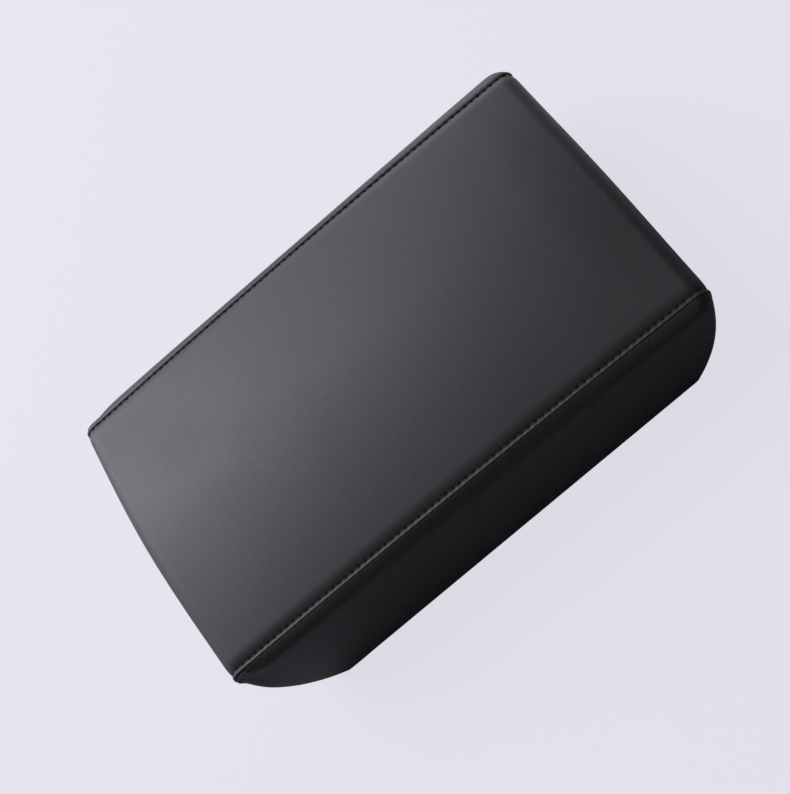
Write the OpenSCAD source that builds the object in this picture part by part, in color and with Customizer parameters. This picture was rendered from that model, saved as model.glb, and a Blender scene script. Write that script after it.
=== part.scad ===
// Sewn and padded cover for the lid of a car's centre console armrest.
// One long leather strip runs over the top and down both ends, and a shaped
// leather panel closes each side. Foam backs all three, a lining faces the lid,
// and the leather is turned in round the open underside.
// +X is the front end, +Y the left side, +Z up. Z = 0 is the hem, on which it rests.
// The origin is the middle of the hem's plane.

/* [Cover] */
// Length between the seams' front and rear corners
cover_length = 300; // [280:1:320]
// Width between the left and the right seam
seam_width = 165; // [150:1:190]
// Height of the seams' corners over the hem, mean of front and rear
seam_height = 70; // [64:1:80]
// Rise of each seam's middle over its corners
seam_arch = 3; // [1:0.1:5]
// How much the rear end stands over the mean height, and the front end under it
rear_rise = 5; // [0:0.5:6]

/* [Ends] */
// How far each end draws in between the top corner and the hem
end_inset = 22.5; // [20:0.5:30]
// Lean of an end wall just under its top corner, in degrees from upright
end_lean = 3; // [2:0.5:8]
// Radius of the seams' top corners
corner_radius = 10; // [6:0.5:12]

/* [Padding] */
// Height of the top's crown over the seams at the middle of the cover
top_crown = 11.5; // [8:0.5:18]
// Share of the crown that is left where the top turns down into the ends
crown_at_corner = 0.65; // [0.4:0.05:0.8]
// Height of the roll beside each seam, on top
edge_roll = 1.8; // [1:0.1:3]
// Height of the same roll on the end walls
end_roll = 0.6; // [0.4:0.1:1.5]
// Width of the roll beside each seam
roll_width = 7; // [5:0.5:9]
// How far a side panel swells past its seam, just under the top
side_bulge = 5.4; // [4:0.1:9]
// How far it still swells at the hem
hem_bulge = 9.8; // [4:0.1:11]
// Depth of the rounded shoulder that a side panel forms along its seam
shoulder_depth = 8.5; // [8:0.5:13]
// Slope at which the shoulder leaves its seam, as an angle round it from level
shoulder_start = 30; // [0:5:45]
// Foam left under the seams, where the padding is thinnest
foam_base = 3; // [2:0.5:4]

/* [Leather and lining] */
// Thickness of the leather
leather = 1.2; // [0.8:0.1:1.6]
// Thickness of the knitted lining
lining = 0.8; // [0.6:0.1:1]
// Width of the leather's turned-in edge, measured up from the hem
hem_depth = 10; // [8:0.5:11]
// Height of the raised edge between a stitch row and its seam
ridge_height = 0.9; // [0.5:0.1:1.2]
// Width of that raised edge
ridge_width = 1.6; // [1.2:0.1:2]

/* [Hidden] */

half_length = cover_length / 2;
half_width = seam_width / 2;
// Depth of the lining's outer face under the seam line
pad_depth = leather + foam_base;

// The arc of an end wall, from the sharp top corner to the hem
end_turn = 2 * (atan(end_inset / seam_height) - end_lean);
end_radius = norm([end_inset, seam_height]) / (2 * sin(end_turn / 2));

// Facets: along half of the top, round a corner, down an end, over the shoulder, below it
top_steps = 8;
corner_steps = 5;
end_steps = 5;
shoulder_steps = 5;
drop_steps = 3;
// The side panel's grid ends on this share of the hem's length
hem_core = 0.78;

// How long the crown keeps its height towards the ends: 2 is a parabola, more is flatter
crown_flatness = 2.6;
// Places across half of the top, as distances from the seam
ridge_stations = [0.3, 0.65] * ridge_width;
roll_stations = [0.12, 0.42] * roll_width;
crown_stations = [0.2, 0.4, 0.68];

leather_black = [0.13, 0.13, 0.14];
foam_grey = [0.72, 0.71, 0.66];
lining_grey = [0.3, 0.31, 0.33];

function lerp(a, b, t) = a + (b - a) * t;
function ease(t) = let (c = min(max(t, 0), 1)) c * c * (3 - 2 * c);
function reversed(list) = [for (i = [len(list) - 1:-1:0]) list[i]];
// A face seen from its other side. It keeps its first point, which sees the whole of it.
function flipped(face) = [for (k = [0:len(face) - 1]) face[(len(face) - k) % len(face)]];

// Half of the seam's line in the X-Z plane, from mid length over a corner to the hem.
// Each entry is [x, z, zone]: zone is 0 on top, 1 on the end wall, between round the corner.
corner_turn = 90 + end_lean - atan(2 * seam_arch / half_length);
// No tighter than the layers that turn inside it
corner_cut = max(corner_radius, pad_depth + lining) * tan(corner_turn / 2);
corner_share = corner_cut / (end_radius * end_turn * PI / 180);

function arch_point(x) = [x, seam_height + seam_arch * (1 - pow(x / half_length, 2))];
function end_point(share) =
  let (lean = end_lean + share * end_turn)
  [
    half_length + end_radius * (cos(lean) - cos(end_lean)),
    seam_height - end_radius * (sin(lean) - sin(end_lean)),
  ];
function corner_point(t) =
  let (
    a = arch_point(half_length - corner_cut),
    b = end_point(corner_share),
    tip = [half_length, seam_height],
    pull = 2 * cos(corner_turn / 2) * t * (1 - t)
  )
  (a * pow(1 - t, 2) + tip * pull + b * pow(t, 2)) / (pow(1 - t, 2) + pull + pow(t, 2));

half_seam = concat(
  [for (k = [0:top_steps])
    let (p = arch_point((half_length - corner_cut) * sin(90 * k / top_steps))) [p.x, p.y, 0]],
  [for (k = [1:corner_steps - 1])
    let (p = corner_point(k / corner_steps)) [p.x, p.y, k / corner_steps]],
  [for (k = [0:end_steps])
    let (p = end_point(lerp(corner_share, 1, k / end_steps))) [p.x, p.y, 1]]
);

// The whole seam line from the rear hem to the front hem, with the rear end raised
level_seam = concat(
  [for (p = reversed(half_seam)) [-p.x, p.y, p.z]],
  [for (i = [1:len(half_seam) - 1]) half_seam[i]]
);
seam = [for (p = level_seam) [p.x, p.y * (1 - rear_rise / seam_height * p.x / half_length)]];
zones = [for (p = level_seam) p.z];
last = len(seam) - 1;

function unit(v) = v / norm(v);
function is_foot(i) = i == 0 || i == last;
function end_run(i) = seam[i == 0 ? 1 : last - 1] - seam[i];
// Outward step at each seam point that keeps a layer's thickness round the bends.
// At the two feet it is level, so that the hem stays flat.
function outward_at(i) =
  is_foot(i)
    ? [sign(seam[i].x) * norm(end_run(i)) / end_run(i).y, 0]
    : let (before = unit(seam[i] - seam[i - 1]), after = unit(seam[i + 1] - seam[i]), bend = before + after)
      [-bend.y, bend.x] / (1 + before * after);
outward = [for (i = [0:last]) outward_at(i)];

// Share of the way along the seam, used to spread the side panel's grid over the hem
function run_to(i) = i == 0 ? 0 : run_to(i - 1) + norm(seam[i] - seam[i - 1]);
seam_run = [for (i = [0:last]) run_to(i) / run_to(last)];

// A seam point moved outward by rise. A foot can be lifted up its end wall, onto the leather's fold.
function moved(i, rise, lift = 0) =
  seam[i] + outward[i] * rise + (is_foot(i) ? end_run(i) * lift / end_run(i).y : [0, 0]);
function line_at(depth, lift) = [for (i = [0:last]) moved(i, -depth, lift)];

leather_line = line_at(leather, leather);
pad_line = line_at(pad_depth, leather);
lining_line = line_at(pad_depth + lining, leather);

// Points on the last straight of a line, at height z over the hem: side 0 is rear, 1 is front
function on_end(line, side, z) =
  let (
    foot = side == 0 ? line[0] : line[last],
    above = side == 0 ? line[1] : line[last - 1]
  )
  lerp(foot, above, (z - foot.y) / (above.y - foot.y));
function fold_out(side, z) = on_end(pad_line, side, z);
function fold_in(side, z, layer = leather) = fold_out(side, z) - outward[side * last] * layer;

// Height of the top's padding over the seam line, at seam point i and across distance d
function crown_at(i) =
  let (along = abs(seam[i].x) / half_length)
  top_crown * lerp(1, crown_at_corner, pow(along, crown_flatness)) * (1 - ease(zones[i]));
function roll_at(i) = lerp(edge_roll, end_roll, ease(zones[i]));
function roll_shape(d) =
  let (t = min(max((d - ridge_width) / roll_width, 0), 1)) sqrt(1 - pow(1 - t, 2));
function crown_shape(d) =
  let (t = max(1 - (d - ridge_width) / (half_width - ridge_width), 0)) d <= ridge_width ? 0 : 1 - t * t;
function padding(i, d) = crown_at(i) * crown_shape(d) + roll_at(i) * roll_shape(d);
function ridge(d) = d < ridge_width ? ridge_height * sin(180 * d / ridge_width) : 0;

// Distances from the nearer seam, right across the cover
crown_distances = [for (s = crown_stations) lerp(ridge_width + roll_width, half_width, s)];
half_stations = concat(
  [0], ridge_stations, [ridge_width],
  [for (s = roll_stations) ridge_width + s], [ridge_width + roll_width],
  crown_distances
);
pad_half_stations = [for (d = half_stations) if (d == 0 || d >= ridge_width) d];
function across(half) = concat(
  [for (d = half) [d - half_width, d]],
  [[0, half_width]],
  [for (d = reversed(half)) [half_width - d, d]]
);

// Triangles of a sheet of points, rows by columns. Their diagonals mirror at mid length.
// turned gives the same triangles, seen from the other side.
function sheet_faces(first, columns, rows, turned) = [
  for (r = [0:rows - 2], c = [0:columns - 2])
    let (
      a = first + r * columns + c,
      b = a + 1,
      d = a + columns,
      e = d + 1,
      pair = 2 * r < rows - 1 ? [[a, b, d], [b, e, d]] : [[a, b, e], [a, e, d]]
    )
    each turned ? [for (face = pair) flipped(face)] : pair
];

// A tube: closed sections, one per station, with its outer skin first. The diagonals change over
// after the skin, so that two layers which share a surface share its triangles.
// cap is the section's own area as faces, and closes both ends.
function tube_faces(stations, size, cap) = concat(
  [
    for (r = [0:stations - 2], c = [0:size - 1])
      let (
        a = r * size + c,
        b = r * size + (c + 1) % size,
        d = a + size,
        e = b + size
      )
      each c < last ? [[a, d, e], [a, e, b]] : [[a, d, b], [b, d, e]]
  ],
  cap,
  [for (face = cap) flipped([for (k = face) (stations - 1) * size + k])]
);

// The cap between a section's outer skin and its inner one. rear is the inner skin's last point.
function skin_cap(rear) = [for (i = [0:last - 1]) [i, i + 1, rear - i - 1, rear - i]];

function set_at(points, y) = [for (p = points) [p.x, y, p.y]];

// Section of the top panel across distance d: outer skin, front fold, inner face, rear fold
function panel_section(d) = concat(
  [for (i = [0:last]) moved(i, padding(i, d) + ridge(d))],
  [fold_in(1, 0), fold_in(1, hem_depth), fold_out(1, hem_depth), fold_out(1, leather)],
  [for (i = [last:-1:0]) moved(i, padding(i, d) - leather, leather)],
  [fold_out(0, leather), fold_out(0, hem_depth), fold_in(0, hem_depth), fold_in(0, 0)]
);

// Its cap. Each fold fans out from the corner where the turned-in edge leaves the fold.
panel_size = 2 * last + 10;
panel_rear = 2 * last + 5;
panel_cap = concat(
  skin_cap(panel_rear),
  [
    [last + 4, last + 5, last, last + 1, last + 2, last + 3],
    [panel_rear + 1, panel_rear + 2, panel_rear + 3, panel_rear + 4, 0, panel_rear],
  ]
);

// Section of the top's foam: crowned outer face, plain inner face
function pad_section(d) = concat(
  [for (i = [0:last]) moved(i, padding(i, d) - leather, leather)],
  reversed(pad_line)
);
pad_size = 2 * last + 2;

module strip_body(sections, size, cap) {
  points = [for (s = sections) each s];
  polyhedron(points, tube_faces(len(sections), size, cap), convexity = 8);
}

module top_panel() {
  sections = [for (s = across(half_stations)) set_at(panel_section(s.y), s.x)];
  color(leather_black)
    strip_body(sections, panel_size, panel_cap);
}

module top_pad() {
  sections = [for (s = across(pad_half_stations)) set_at(pad_section(s.y), s.x)];
  color(foam_grey)
    strip_body(sections, pad_size, skin_cap(pad_size - 1));
}

// One side, as a domed sheet over the area inside the seam line and the hem.
// base is the line it springs from, depth the layers outside it, lift its lower edge's height.
function bulge_at(z) = lerp(hem_bulge, side_bulge, min(z / seam_height, 1));
function side_column(base, i, depth, lift) =
  let (
    start = base[i],
    hem_x = abs(seam[0].x) * hem_core,
    goal = [lerp(-hem_x, hem_x, seam_run[i]), lift],
    reach = norm(goal - start),
    way = (goal - start) / reach,
    shoulder = shoulder_depth - depth
  )
  concat(
    [for (k = [0:shoulder_steps])
      let (
        turn = lerp(shoulder_start, 90, k / shoulder_steps),
        out = (sin(turn) - sin(shoulder_start)) / (1 - sin(shoulder_start)),
        p = start + way * shoulder * (1 - cos(turn) / cos(shoulder_start))
      )
      [p.x, half_width + (bulge_at(p.y) - depth) * out, p.y]],
    [for (k = [1:drop_steps])
      let (p = start + way * lerp(shoulder, reach, k / drop_steps))
      [p.x, half_width + bulge_at(p.y) - depth, p.y]]
  );
column_points = shoulder_steps + drop_steps + 1;
function side_sheet(base, depth, lift) = [for (i = [0:last]) each side_column(base, i, depth, lift)];
sheet_points = (last + 1) * column_points;

// Indices of a sheet's lower edge, from the rear foot of the seam to the front foot
hem_edge = concat(
  [for (c = [0:column_points - 1]) c],
  [for (i = [1:last]) i * column_points + column_points - 1],
  [for (c = [column_points - 2:-1:0]) last * column_points + c]
);
seam_edge = [for (i = [0:last]) i * column_points];

// The turned-in edge of the left side lies on the foam's inner face, between the end folds.
// Its corners on the seam's plane, rear and front, at the hem, on the fold and at its top,
// and then those of its inner face, at the hem and at its top.
turned_edge = concat(
  set_at([for (z = [0, leather, hem_depth], end = [0, 1]) fold_in(end, z)], half_width),
  set_at([for (z = [0, hem_depth], end = [0, 1]) fold_in(end, z)], half_width - leather)
);

// The faces of a level area between a hem edge and the seam's plane, divided at two points on it
function level_faces(edge, rear, front) =
  let (half = floor(len(edge) / 2))
  [
    concat([rear], [for (k = [0:half]) edge[k]]),
    concat([front, rear], [for (k = [half:len(edge) - 1]) edge[k]]),
  ];

// The leather of the left side: a wall, the fold under the foam, and the turned-in edge
module side_leather() {
  points = concat(side_sheet(seam, 0, 0), side_sheet(leather_line, leather, leather), turned_edge);
  inner_hem = [for (k = hem_edge) k + sheet_points];
  inner_seam = [for (k = seam_edge) k + sheet_points];
  rear_foot = seam_edge[0];
  front_foot = seam_edge[last];
  edge = [for (k = [0:len(turned_edge) - 1]) 2 * sheet_points + k];
  faces = concat(
    sheet_faces(0, column_points, last + 1, false),
    sheet_faces(sheet_points, column_points, last + 1, true),
    [for (i = [0:last - 1])
      each [
        [seam_edge[i], seam_edge[i + 1], inner_seam[i + 1]],
        [seam_edge[i], inner_seam[i + 1], inner_seam[i]],
      ]],
    [for (face = level_faces(hem_edge, edge[0], edge[1])) flipped(face)],
    level_faces(inner_hem, edge[2], edge[3]),
    [
      [rear_foot, inner_seam[0], edge[2], edge[0]],
      [edge[1], edge[3], inner_seam[last], front_foot],
      [edge[6], edge[0], edge[2], edge[4], edge[8]],
      [edge[7], edge[9], edge[5], edge[3], edge[1]],
      [edge[2], edge[3], edge[5], edge[4]],
      [edge[6], edge[8], edge[9], edge[7]],
      [edge[4], edge[5], edge[9], edge[8]],
      [edge[0], edge[6], edge[7], edge[1]],
    ]
  );
  polyhedron(points, faces, convexity = 8);
}

// The foam of the left side, flat against the lid and domed under the leather
module side_foam() {
  points = side_sheet(leather_line, leather, leather);
  faces = concat(
    sheet_faces(0, column_points, last + 1, false),
    [flipped(hem_edge), seam_edge]
  );
  polyhedron(points, faces, convexity = 8);
}

// The lining of the left side, from the turned-in edge up to the top's foam
module side_lining() {
  inside = concat(
    [fold_out(0, hem_depth)],
    [for (i = [1:last - 1]) pad_line[i]],
    [fold_out(1, hem_depth)]
  );
  color(lining_grey)
    translate([0, half_width, 0])
      rotate([90, 0, 0])
        linear_extrude(lining)
          polygon(inside);
}

module on_right() {
  mirror([0, 1, 0]) children();
}

module side_panel_left() { color(leather_black) side_leather(); }
module side_panel_right() { color(leather_black) on_right() side_leather(); }
module side_pad_left() { color(foam_grey) side_foam(); }
module side_pad_right() { color(foam_grey) on_right() side_foam(); }
module lining_left() { side_lining(); }
module lining_right() { on_right() side_lining(); }

// The lining of the top and the ends, one strip between the two side linings
module lining_top() {
  band = concat(
    [fold_out(0, hem_depth)],
    [for (i = [1:last - 1]) pad_line[i]],
    [fold_out(1, hem_depth), fold_in(1, hem_depth, lining)],
    [for (i = [last - 1:-1:1]) lining_line[i]],
    [fold_in(0, hem_depth, lining)]
  );
  color(lining_grey)
    translate([0, half_width - lining, 0])
      rotate([90, 0, 0])
        linear_extrude(seam_width - 2 * lining)
          polygon(band);
}

top_panel();
side_panel_left();
side_panel_right();
top_pad();
side_pad_left();
side_pad_right();
lining_top();
lining_left();
lining_right();
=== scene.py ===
"""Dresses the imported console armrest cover: its leather, stitching, foam and lining, and the stage.

Each piece is first made flat or straight, as it is cut or sewn, and then laid along the seam line.
Lengths are in metres. +X is the front end, +Y the left side and +Z up, with the hem on Z = 0.
"""

from math import atan, cos, hypot, pi, radians, sin, tan

import bpy
import numpy as np
from mathutils import Matrix, Vector


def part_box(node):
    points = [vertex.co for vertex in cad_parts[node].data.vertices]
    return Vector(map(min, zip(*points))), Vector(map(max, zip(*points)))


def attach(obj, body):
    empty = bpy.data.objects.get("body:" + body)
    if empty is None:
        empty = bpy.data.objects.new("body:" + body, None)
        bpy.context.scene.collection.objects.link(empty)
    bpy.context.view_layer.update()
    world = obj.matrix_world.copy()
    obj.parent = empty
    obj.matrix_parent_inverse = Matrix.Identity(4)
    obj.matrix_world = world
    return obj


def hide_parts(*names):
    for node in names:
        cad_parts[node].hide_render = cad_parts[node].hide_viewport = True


bl_info = {
    "name": "Console armrest cover",
    "version": (1, 0, 0),
    "blender": (4, 5, 0),
    "location": "3D View > Sidebar > Armrest Cover",
    "description": "Leather, stitching, foam and lining for a console armrest cover",
    "category": "Object",
}

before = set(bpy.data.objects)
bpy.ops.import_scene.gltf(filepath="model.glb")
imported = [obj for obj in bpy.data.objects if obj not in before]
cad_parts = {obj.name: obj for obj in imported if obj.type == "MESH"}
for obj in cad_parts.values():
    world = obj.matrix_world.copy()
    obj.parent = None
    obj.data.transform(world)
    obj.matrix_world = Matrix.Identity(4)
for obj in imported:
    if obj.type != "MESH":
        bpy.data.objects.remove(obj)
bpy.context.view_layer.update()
strip_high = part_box("top_panel")[1]
side_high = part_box("side_panel_left")[1]

MM = 0.001
SIDES = {"left": 1, "right": -1}

# Settings of the properties that hold a length, an angle or a colour
DISTANCE = {"unit": "LENGTH", "subtype": "DISTANCE"}
ANGLE = {"unit": "ROTATION", "subtype": "ANGLE"}
COLOUR = {"size": 3, "subtype": "COLOR"}


class CoverSizes(bpy.types.PropertyGroup):
    """Sizes of the sewn cover."""

    length: bpy.props.FloatProperty(
        name="Length", description="Length between the seams' front and rear corners",
        default=299.1 * MM, **DISTANCE)
    half_width: bpy.props.FloatProperty(
        name="Half width", description="From the middle to each seam",
        default=strip_high.y, **DISTANCE)
    seam_height: bpy.props.FloatProperty(
        name="Seam height", description="Mean height of the seams' corners over the hem",
        default=70 * MM, **DISTANCE)
    seam_arch: bpy.props.FloatProperty(
        name="Seam arch", description="Rise of each seam's middle over its corners",
        default=3 * MM, **DISTANCE)
    rear_rise: bpy.props.FloatProperty(
        name="Rear rise", description="How much the rear end stands over the mean height",
        default=5 * MM, **DISTANCE)
    end_inset: bpy.props.FloatProperty(
        name="End inset", description="How far each end draws in between the top corner and the hem",
        default=22.5 * MM, **DISTANCE)
    end_lean: bpy.props.FloatProperty(
        name="End lean", description="Lean of an end wall under its top corner, from upright",
        default=radians(3), **ANGLE)
    corner_radius: bpy.props.FloatProperty(
        name="Corner radius", description="Radius of the seams' top corners",
        default=8 * MM, **DISTANCE)
    crown: bpy.props.FloatProperty(
        name="Crown", description="Height of the top's crown over the seams at the middle",
        default=11.5 * MM, **DISTANCE)
    side_bulge: bpy.props.FloatProperty(
        name="Side bulge", description="How far a side panel swells past its seam, just under the top",
        default=5.4 * MM, **DISTANCE)
    hem_bulge: bpy.props.FloatProperty(
        name="Hem bulge", description="How far a side panel still swells at the hem",
        default=side_high.y - strip_high.y, **DISTANCE)
    shoulder: bpy.props.FloatProperty(
        name="Shoulder depth", description="Depth of the rounded shoulder along each seam",
        default=8.5 * MM, **DISTANCE)
    shoulder_start: bpy.props.FloatProperty(
        name="Shoulder start", description="Slope at which the shoulder leaves its seam",
        default=radians(44), **ANGLE)
    leather: bpy.props.FloatProperty(
        name="Leather", description="Thickness of the leather",
        default=1.2 * MM, **DISTANCE)
    foam: bpy.props.FloatProperty(
        name="Foam", description="Foam under the seams, where it is thinnest",
        default=3 * MM, **DISTANCE)
    lining: bpy.props.FloatProperty(
        name="Lining", description="Thickness of the knitted lining",
        default=0.8 * MM, **DISTANCE)
    turned_edge: bpy.props.FloatProperty(
        name="Turned-in edge", description="Height of the leather's turned-in edge over the hem",
        default=10 * MM, **DISTANCE)


class StitchSizes(bpy.types.PropertyGroup):
    """Sizes of the sewing."""

    pitch: bpy.props.FloatProperty(
        name="Stitch pitch", description="Distance from needle hole to needle hole",
        default=4.24 * MM, **DISTANCE)
    thread: bpy.props.FloatProperty(
        name="Thread", description="Thickness of the thread",
        default=0.46 * MM, **DISTANCE)
    row: bpy.props.FloatProperty(
        name="Row distance", description="Distance of the stitch row from its seam",
        default=2.2 * MM, **DISTANCE)
    ridge: bpy.props.FloatProperty(
        name="Ridge height", description="Height of the raised edge between the row and the seam",
        default=0.46 * MM, **DISTANCE)


class CoverColours(bpy.types.PropertyGroup):
    """Colours of the cover's materials and of the floor, in linear light."""

    leather: bpy.props.FloatVectorProperty(
        name="Leather", description="The leather's colour",
        default=(0.0200, 0.0198, 0.0222), **COLOUR)
    thread: bpy.props.FloatVectorProperty(
        name="Thread", description="The thread's colour",
        default=(0.018, 0.018, 0.020), **COLOUR)
    foam: bpy.props.FloatVectorProperty(
        name="Foam", description="The foam's colour",
        default=(0.48, 0.47, 0.41), **COLOUR)
    lining: bpy.props.FloatVectorProperty(
        name="Lining", description="The lining's colour",
        default=(0.045, 0.047, 0.052), **COLOUR)
    floor: bpy.props.FloatVectorProperty(
        name="Floor", description="The floor's colour",
        default=(0.775, 0.760, 0.838), **COLOUR)


# Points along half of the seam line: on the arch, round the corner and down the end
ARCH_POINTS = 500
CORNER_POINTS = 80
END_POINTS = 240
# The straight foot of an end wall, over its hem
STRAIGHT_FOOT = 6 * MM
# Radii of the leather's folds: round the hem, and where the edge turns up inside
HEM_FOLD = 1.5 * MM
INNER_FOLD = 1.4 * MM
# How far round the hem the padding begins to show, and over what length it grows
PADDING_START = 1 * MM
PADDING_GROWTH = 3.5 * MM

# How long the crown keeps its height towards the ends, and what is left of it there
CROWN_FLATNESS = 2.6
CROWN_AT_CORNER = 0.65
# Power of the crown's fall from the middle to the seams, 2 being a parabola
CROWN_POWER = 1.8
# Share of the crown lost towards the front end, and where along the half length that begins
FRONT_SLOPE = 0.28
FRONT_SLOPE_START = 0.74
# Height of the roll beside each seam, on top and on the ends, and its width
TOP_ROLL = 1.25 * MM
END_ROLL = 0.6 * MM
ROLL_WIDTH = 6 * MM
# Power that shapes the roll, 0.5 being a quarter circle and 1 a parabola
ROLL_POWER = 0.95
# Where the roll begins, past the stitch row
ROLL_START = 2.6 * MM
# Width of the raised edge between the seam and the stitch row
RIDGE_WIDTH = 1.9 * MM
# Shares of that width under its face at the seam and its face at the row
RIDGE_OUTER_FACE = 0.1
RIDGE_INNER_FACE = 0.22
# How much lower the crest is at its two sides, as a share
RIDGE_ROUNDING = 0.3
# How much each stitch and chance change the raised edge's height, as shares
RIDGE_PUFF = 0.10
RIDGE_WANDER = 0.08

# Length left free of stitches at each end of a seam
ROW_MARGIN = 5 * MM
# How far the stitch row strays from its line
ROW_WANDER = 0.06 * MM
# Depth of the ditch along the stitch row and of its needle holes, and the reach of both
DITCH_DEPTH = 0.05 * MM
HOLE_DEPTH = 0.9 * MM
HOLE_REACH = 0.5 * MM
# Depth of the pucker at each needle hole, how far past the row it lies, and its reach
PUCKER_DEPTH = 0.06 * MM
PUCKER_PLACE = 1.2 * MM
PUCKER_REACH = 1.3 * MM
# Columns of points per stitch along the strip, one of them through each needle hole
COLUMNS_A_STITCH = 5
# Rows of points on each half of the crown, and the power by which they spread towards the middle
CROWN_STATIONS = 11
CROWN_SPACING = 1.15
# Depth to which both leathers turn down into the seam, and the strip's share of it at the hem
SEAM_LIP = 1.6 * MM
LIP_AT_HEM = 0.25

# How much a side panel is drawn in at its rear top corner, and over what distance from it
CORNER_TIGHT = 0.95
CORNER_REACH = 13 * MM
# How full a side panel's swell is between its hem and its seam, 1 being an even slope
SIDE_FULLNESS = 2.5
# How much deeper the side panel's shoulder is at the feet than on top, as a share
FOOT_SHOULDER = 0.25
# The side panel's straight lower edge, as a share of the hem's length
HEM_CORE = 0.78
# Depth of the crease where a side panel leaves its seam, and the swell over which it fades
CREASE_DEPTH = 0.12 * MM
CREASE_REACH = 0.5 * MM
# Depth of a side panel's puckers, the swell at which they lie, and their reach
SIDE_PUCKER_DEPTH = 0.05 * MM
SIDE_PUCKER_PLACE = 1.6 * MM
SIDE_PUCKER_REACH = 1.8 * MM
# How far these puckers stray along the seam, in radians of a stitch
SIDE_PUCKER_WANDER = 0.3
# Slack in the leather below the shoulder, and its wavelengths
SIDE_SLACK = 0.35 * MM
SIDE_SLACK_WAVES = (0.11, 0.17, 0.29)
# Distance between a side panel's columns of points
SIDE_COLUMN = 0.85 * MM
# Distance within which a side panel and its turned hem are joined
WELD = 0.001 * MM

# Gaps that keep the foam and the lining clear of their neighbours
FOAM_GAP = 0.08 * MM
LINING_GAP = 0.06 * MM
# Depth and reach of the groove that the stitch row presses into the foam
FOAM_GROOVE = 1.0 * MM
GROOVE_REACH = 1.1 * MM
# Columns of points along the top foam and a side foam
TOP_FOAM_COLUMNS = 240
SIDE_FOAM_COLUMNS = 120
# Columns and rows of points of the lining's strip and of its plates
LINING_STRIP_GRID = (300, 90)
LINING_PLATE_GRID = (220, 40)
# How much thinner the lining's sheets are than the space they have
LINING_SPARE = 0.1 * MM
# Slack in the lining's strip, its wavelengths along the strip, and its spread across it
LINING_SLACK = 0.25 * MM
LINING_SLACK_WAVES = (0.06, 0.09, 0.13)
LINING_SLACK_SPREAD = 30 * MM

# Length of a stitch that shows, as a share of the pitch, and how much thinner its ends are
STITCH_SHOWN = 0.86
STITCH_TAPER = 0.35
# How far a stitch's ends lie aside
STITCH_SLANT = 0.10 * MM
# How deep they dive, as a share of the thread's thickness
STITCH_DIVE = 1.15
# How far the thread is sunk into the padding
THREAD_SEAT = 0.26 * MM
# Height of its middle over that, as a share of its thickness
THREAD_LIFT = 0.4
# Distance of the hem's stitch rows from the turned-in edge, and what they leave free at each end
HEM_ROW = 2.6 * MM
HEM_ROW_MARGIN = 3 * MM
# Height of their thread's middle over the leather, as a share of its thickness
HEM_THREAD_LIFT = 0.3
# Share of the end walls' lean by which that height also raises them
HEM_ROW_TILT = 0.9

# Turns of the thread's twist per millimetre, and the number of its strands
TWIST = 2.2
STRANDS = 3
# Pitches of the knit's ribs and loops, and how far the ribs bend the loops, in radians
RIB_PITCH = 0.65 * MM
LOOP_PITCH = 1.1 * MM
LOOP_BEND = 2.4

# The seed of each smooth irregular wave
SEEDS = {"row": 3, "ridge": 5, "side_pucker": 9, "side_slack": 12, "lining_slack": 21}


def ease(t):
    """A smooth step from 0 to 1."""
    c = np.clip(t, 0, 1)
    return c * c * (3 - 2 * c)


def bell(distance, reach):
    """A smooth bump, 1 high at distance 0 and nearly gone at twice its reach."""
    return np.exp(-(distance / reach) ** 2)


def unit(vectors):
    return vectors / np.linalg.norm(vectors, axis=-1, keepdims=True)


def wander(run, what, wavelengths=(0.031, 0.053, 0.087)):
    """A smooth irregular wave along a seam, within about -1 to 1, the same on every run."""
    phases = np.random.default_rng(SEEDS[what]).uniform(0, 2 * pi, len(wavelengths))
    waves = [np.sin(2 * pi * run / wave + phase) for wave, phase in zip(wavelengths, phases)]
    return sum(waves) / len(wavelengths)


def distances_along(points):
    """Distance of each point of a chain from its first."""
    steps = np.linalg.norm(np.diff(points, axis=0), axis=1)
    return np.concatenate([[0], np.cumsum(steps)])


def outward_normals(points, runs):
    """Outward normals of a chain that runs from the rear over the top to the front."""
    along = unit(np.gradient(points, runs, axis=0))
    return np.stack([-along[:, 1], along[:, 0]], -1)


def in_space(place, y):
    """Points from their places in the X-Z plane and their distances to the left."""
    return np.stack([place[:, 0], y, place[:, 1]], -1)


def rounded(corners, radii, steps=9):
    """A chain of straight lines with its inner corners rounded."""
    corners = np.array(corners)
    points = [corners[0]]
    for before, corner, after, radius in zip(corners, corners[1:], corners[2:], radii):
        into = unit(corner - before)
        out = unit(after - corner)
        turn = np.arccos(np.clip(into @ out, -1, 1))
        start = corner - into * radius * tan(turn / 2)
        end = corner + out * radius * tan(turn / 2)
        centre = corner + unit(out - into) * radius / cos(turn / 2)
        for t in np.linspace(0, 1, steps):
            arm = (start - centre) * sin((1 - t) * turn) + (end - centre) * sin(t * turn)
            points.append(centre + arm / sin(turn))
    points.append(corners[-1])
    return np.array(points)


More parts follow.
